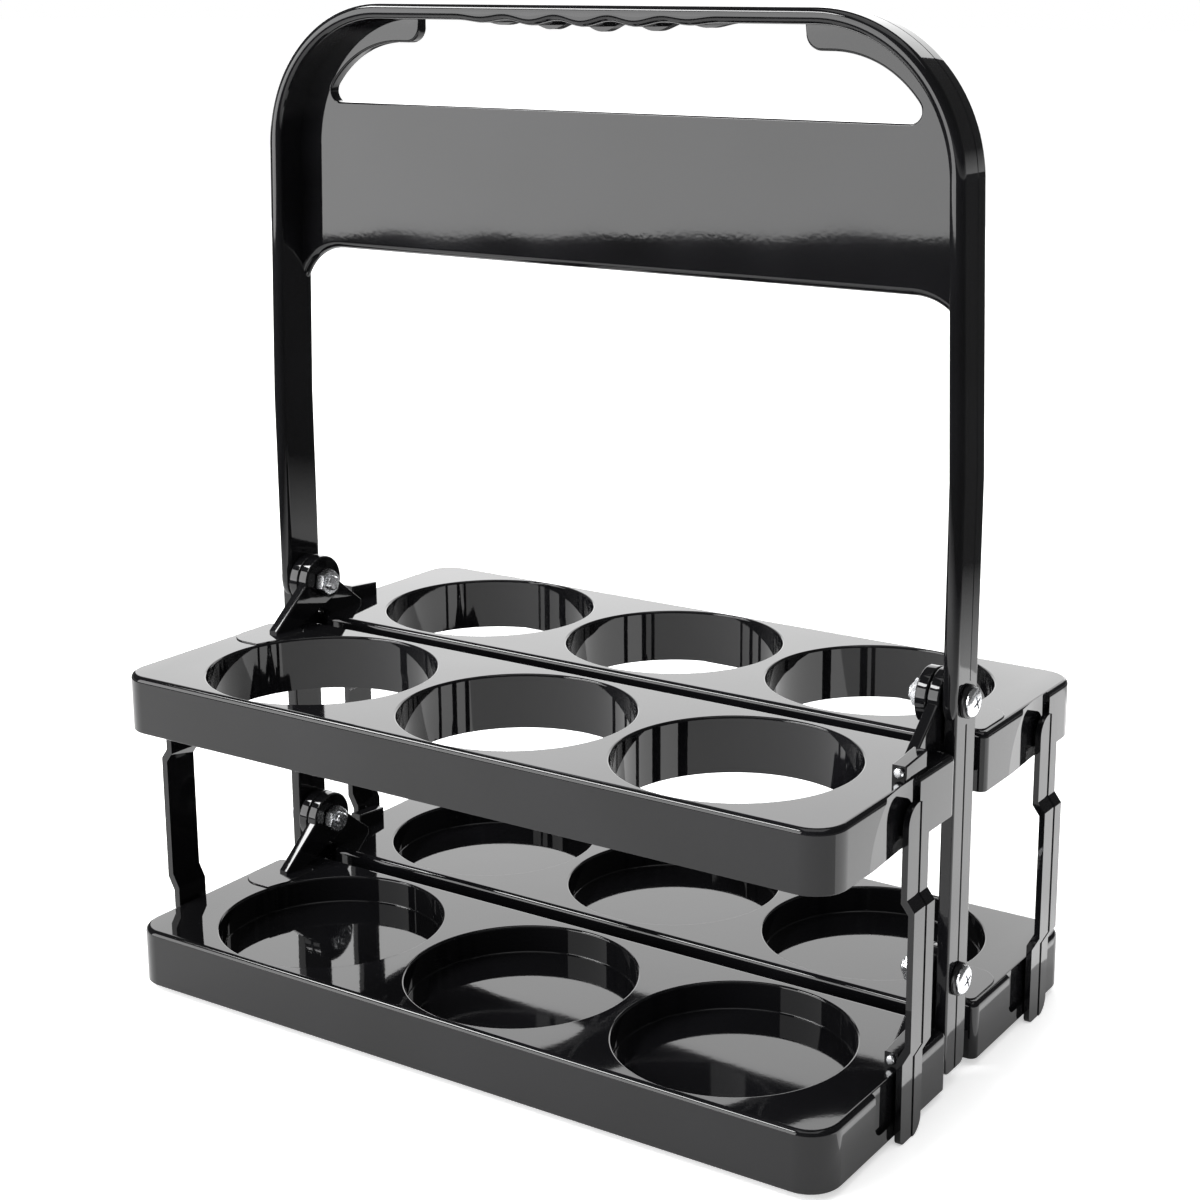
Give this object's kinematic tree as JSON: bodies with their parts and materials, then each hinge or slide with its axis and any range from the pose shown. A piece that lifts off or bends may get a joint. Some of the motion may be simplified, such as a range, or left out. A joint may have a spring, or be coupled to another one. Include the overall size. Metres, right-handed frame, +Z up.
{
  "type": "bottle carrier",
  "caption": "Folding bottle carrier: a tall flat handle frame with a finger grip, between pairs of trays with round holes that fold up on hinges and links.",
  "frame": {"origin": "on the ground, under the middle of the handle", "axes": "+Z up; +X along the handle and the long side of the trays, to the right seen from the front; +Y from the front trays to the back trays"},
  "size_m": [0.2666, 0.1634, 0.3132],
  "materials": {
    "black_plastic": "glossy moulded black",
    "washer_plastic": "satin black",
    "bright_steel": "bright zinc plated"
  },
  "bodies": {
    "frame": {"handle_frame": "black_plastic", "handle_panel": "black_plastic", "bolt_upper_left": "bright_steel", "bolt_upper_right": "bright_steel", "bolt_lower_left": "bright_steel", "bolt_lower_right": "bright_steel", "nut_upper_left": "bright_steel", "nut_upper_right": "bright_steel", "nut_lower_left": "bright_steel", "nut_lower_right": "bright_steel", "washer_upper_left": "washer_plastic", "washer_upper_right": "washer_plastic", "washer_lower_left": "washer_plastic", "washer_lower_right": "washer_plastic"},
    "upper_front_tray": {"tray_upper_front": "black_plastic", "keeper_pin_upper_front": "bright_steel"},
    "upper_back_tray": {"tray_upper_back": "black_plastic", "keeper_pin_upper_back": "bright_steel"},
    "lower_front_tray": {"tray_lower_front": "black_plastic", "keeper_pin_lower_front": "bright_steel"},
    "lower_back_tray": {"tray_lower_back": "black_plastic", "keeper_pin_lower_back": "bright_steel"},
    "front_left_link": {"link_front_left": "black_plastic"},
    "front_right_link": {"link_front_right": "black_plastic"},
    "back_left_link": {"link_back_left": "black_plastic"},
    "back_right_link": {"link_back_right": "black_plastic"}
  },
  "joints": [
    {"name": "fold_front", "type": "hinge", "parent": "frame", "child": "upper_front_tray", "pos_m": [0, 0, 0.1204], "axis": [-1, 0, 0], "range_deg": [0, 90]},
    {"name": "fold_lower_front", "type": "hinge", "parent": "frame", "child": "lower_front_tray", "pos_m": [0, 0, 0.0345], "axis": [-1, 0, 0], "range_deg": [0, 90]},
    {"name": "front_left_link_pivot", "type": "hinge", "parent": "upper_front_tray", "child": "front_left_link", "pos_m": [-0.1287, -0.0545, 0.0955], "axis": [1, 0, 0], "range_deg": [0, 90]},
    {"name": "front_right_link_pivot", "type": "hinge", "parent": "upper_front_tray", "child": "front_right_link", "pos_m": [0.1287, -0.035, 0.0955], "axis": [1, 0, 0], "range_deg": [0, 90]},
    {"name": "fold_back", "type": "hinge", "parent": "frame", "child": "upper_back_tray", "pos_m": [0, 0, 0.1204], "axis": [1, 0, 0], "range_deg": [0, 90]},
    {"name": "fold_lower_back", "type": "hinge", "parent": "frame", "child": "lower_back_tray", "pos_m": [0, 0, 0.0345], "axis": [1, 0, 0], "range_deg": [0, 90]},
    {"name": "back_left_link_pivot", "type": "hinge", "parent": "upper_back_tray", "child": "back_left_link", "pos_m": [-0.1287, 0.035, 0.0955], "axis": [-1, 0, 0], "range_deg": [0, 90]},
    {"name": "back_right_link_pivot", "type": "hinge", "parent": "upper_back_tray", "child": "back_right_link", "pos_m": [0.1287, 0.0545, 0.0955], "axis": [-1, 0, 0], "range_deg": [0, 90]}
  ],
  "couplings": [
    {"joint": "fold_lower_front", "follows": "fold_front", "ratio": 1},
    {"joint": "front_left_link_pivot", "follows": "fold_front", "ratio": 1},
    {"joint": "front_right_link_pivot", "follows": "fold_front", "ratio": 1},
    {"joint": "fold_lower_back", "follows": "fold_back", "ratio": 1},
    {"joint": "back_left_link_pivot", "follows": "fold_back", "ratio": 1},
    {"joint": "back_right_link_pivot", "follows": "fold_back", "ratio": 1}
  ]
}
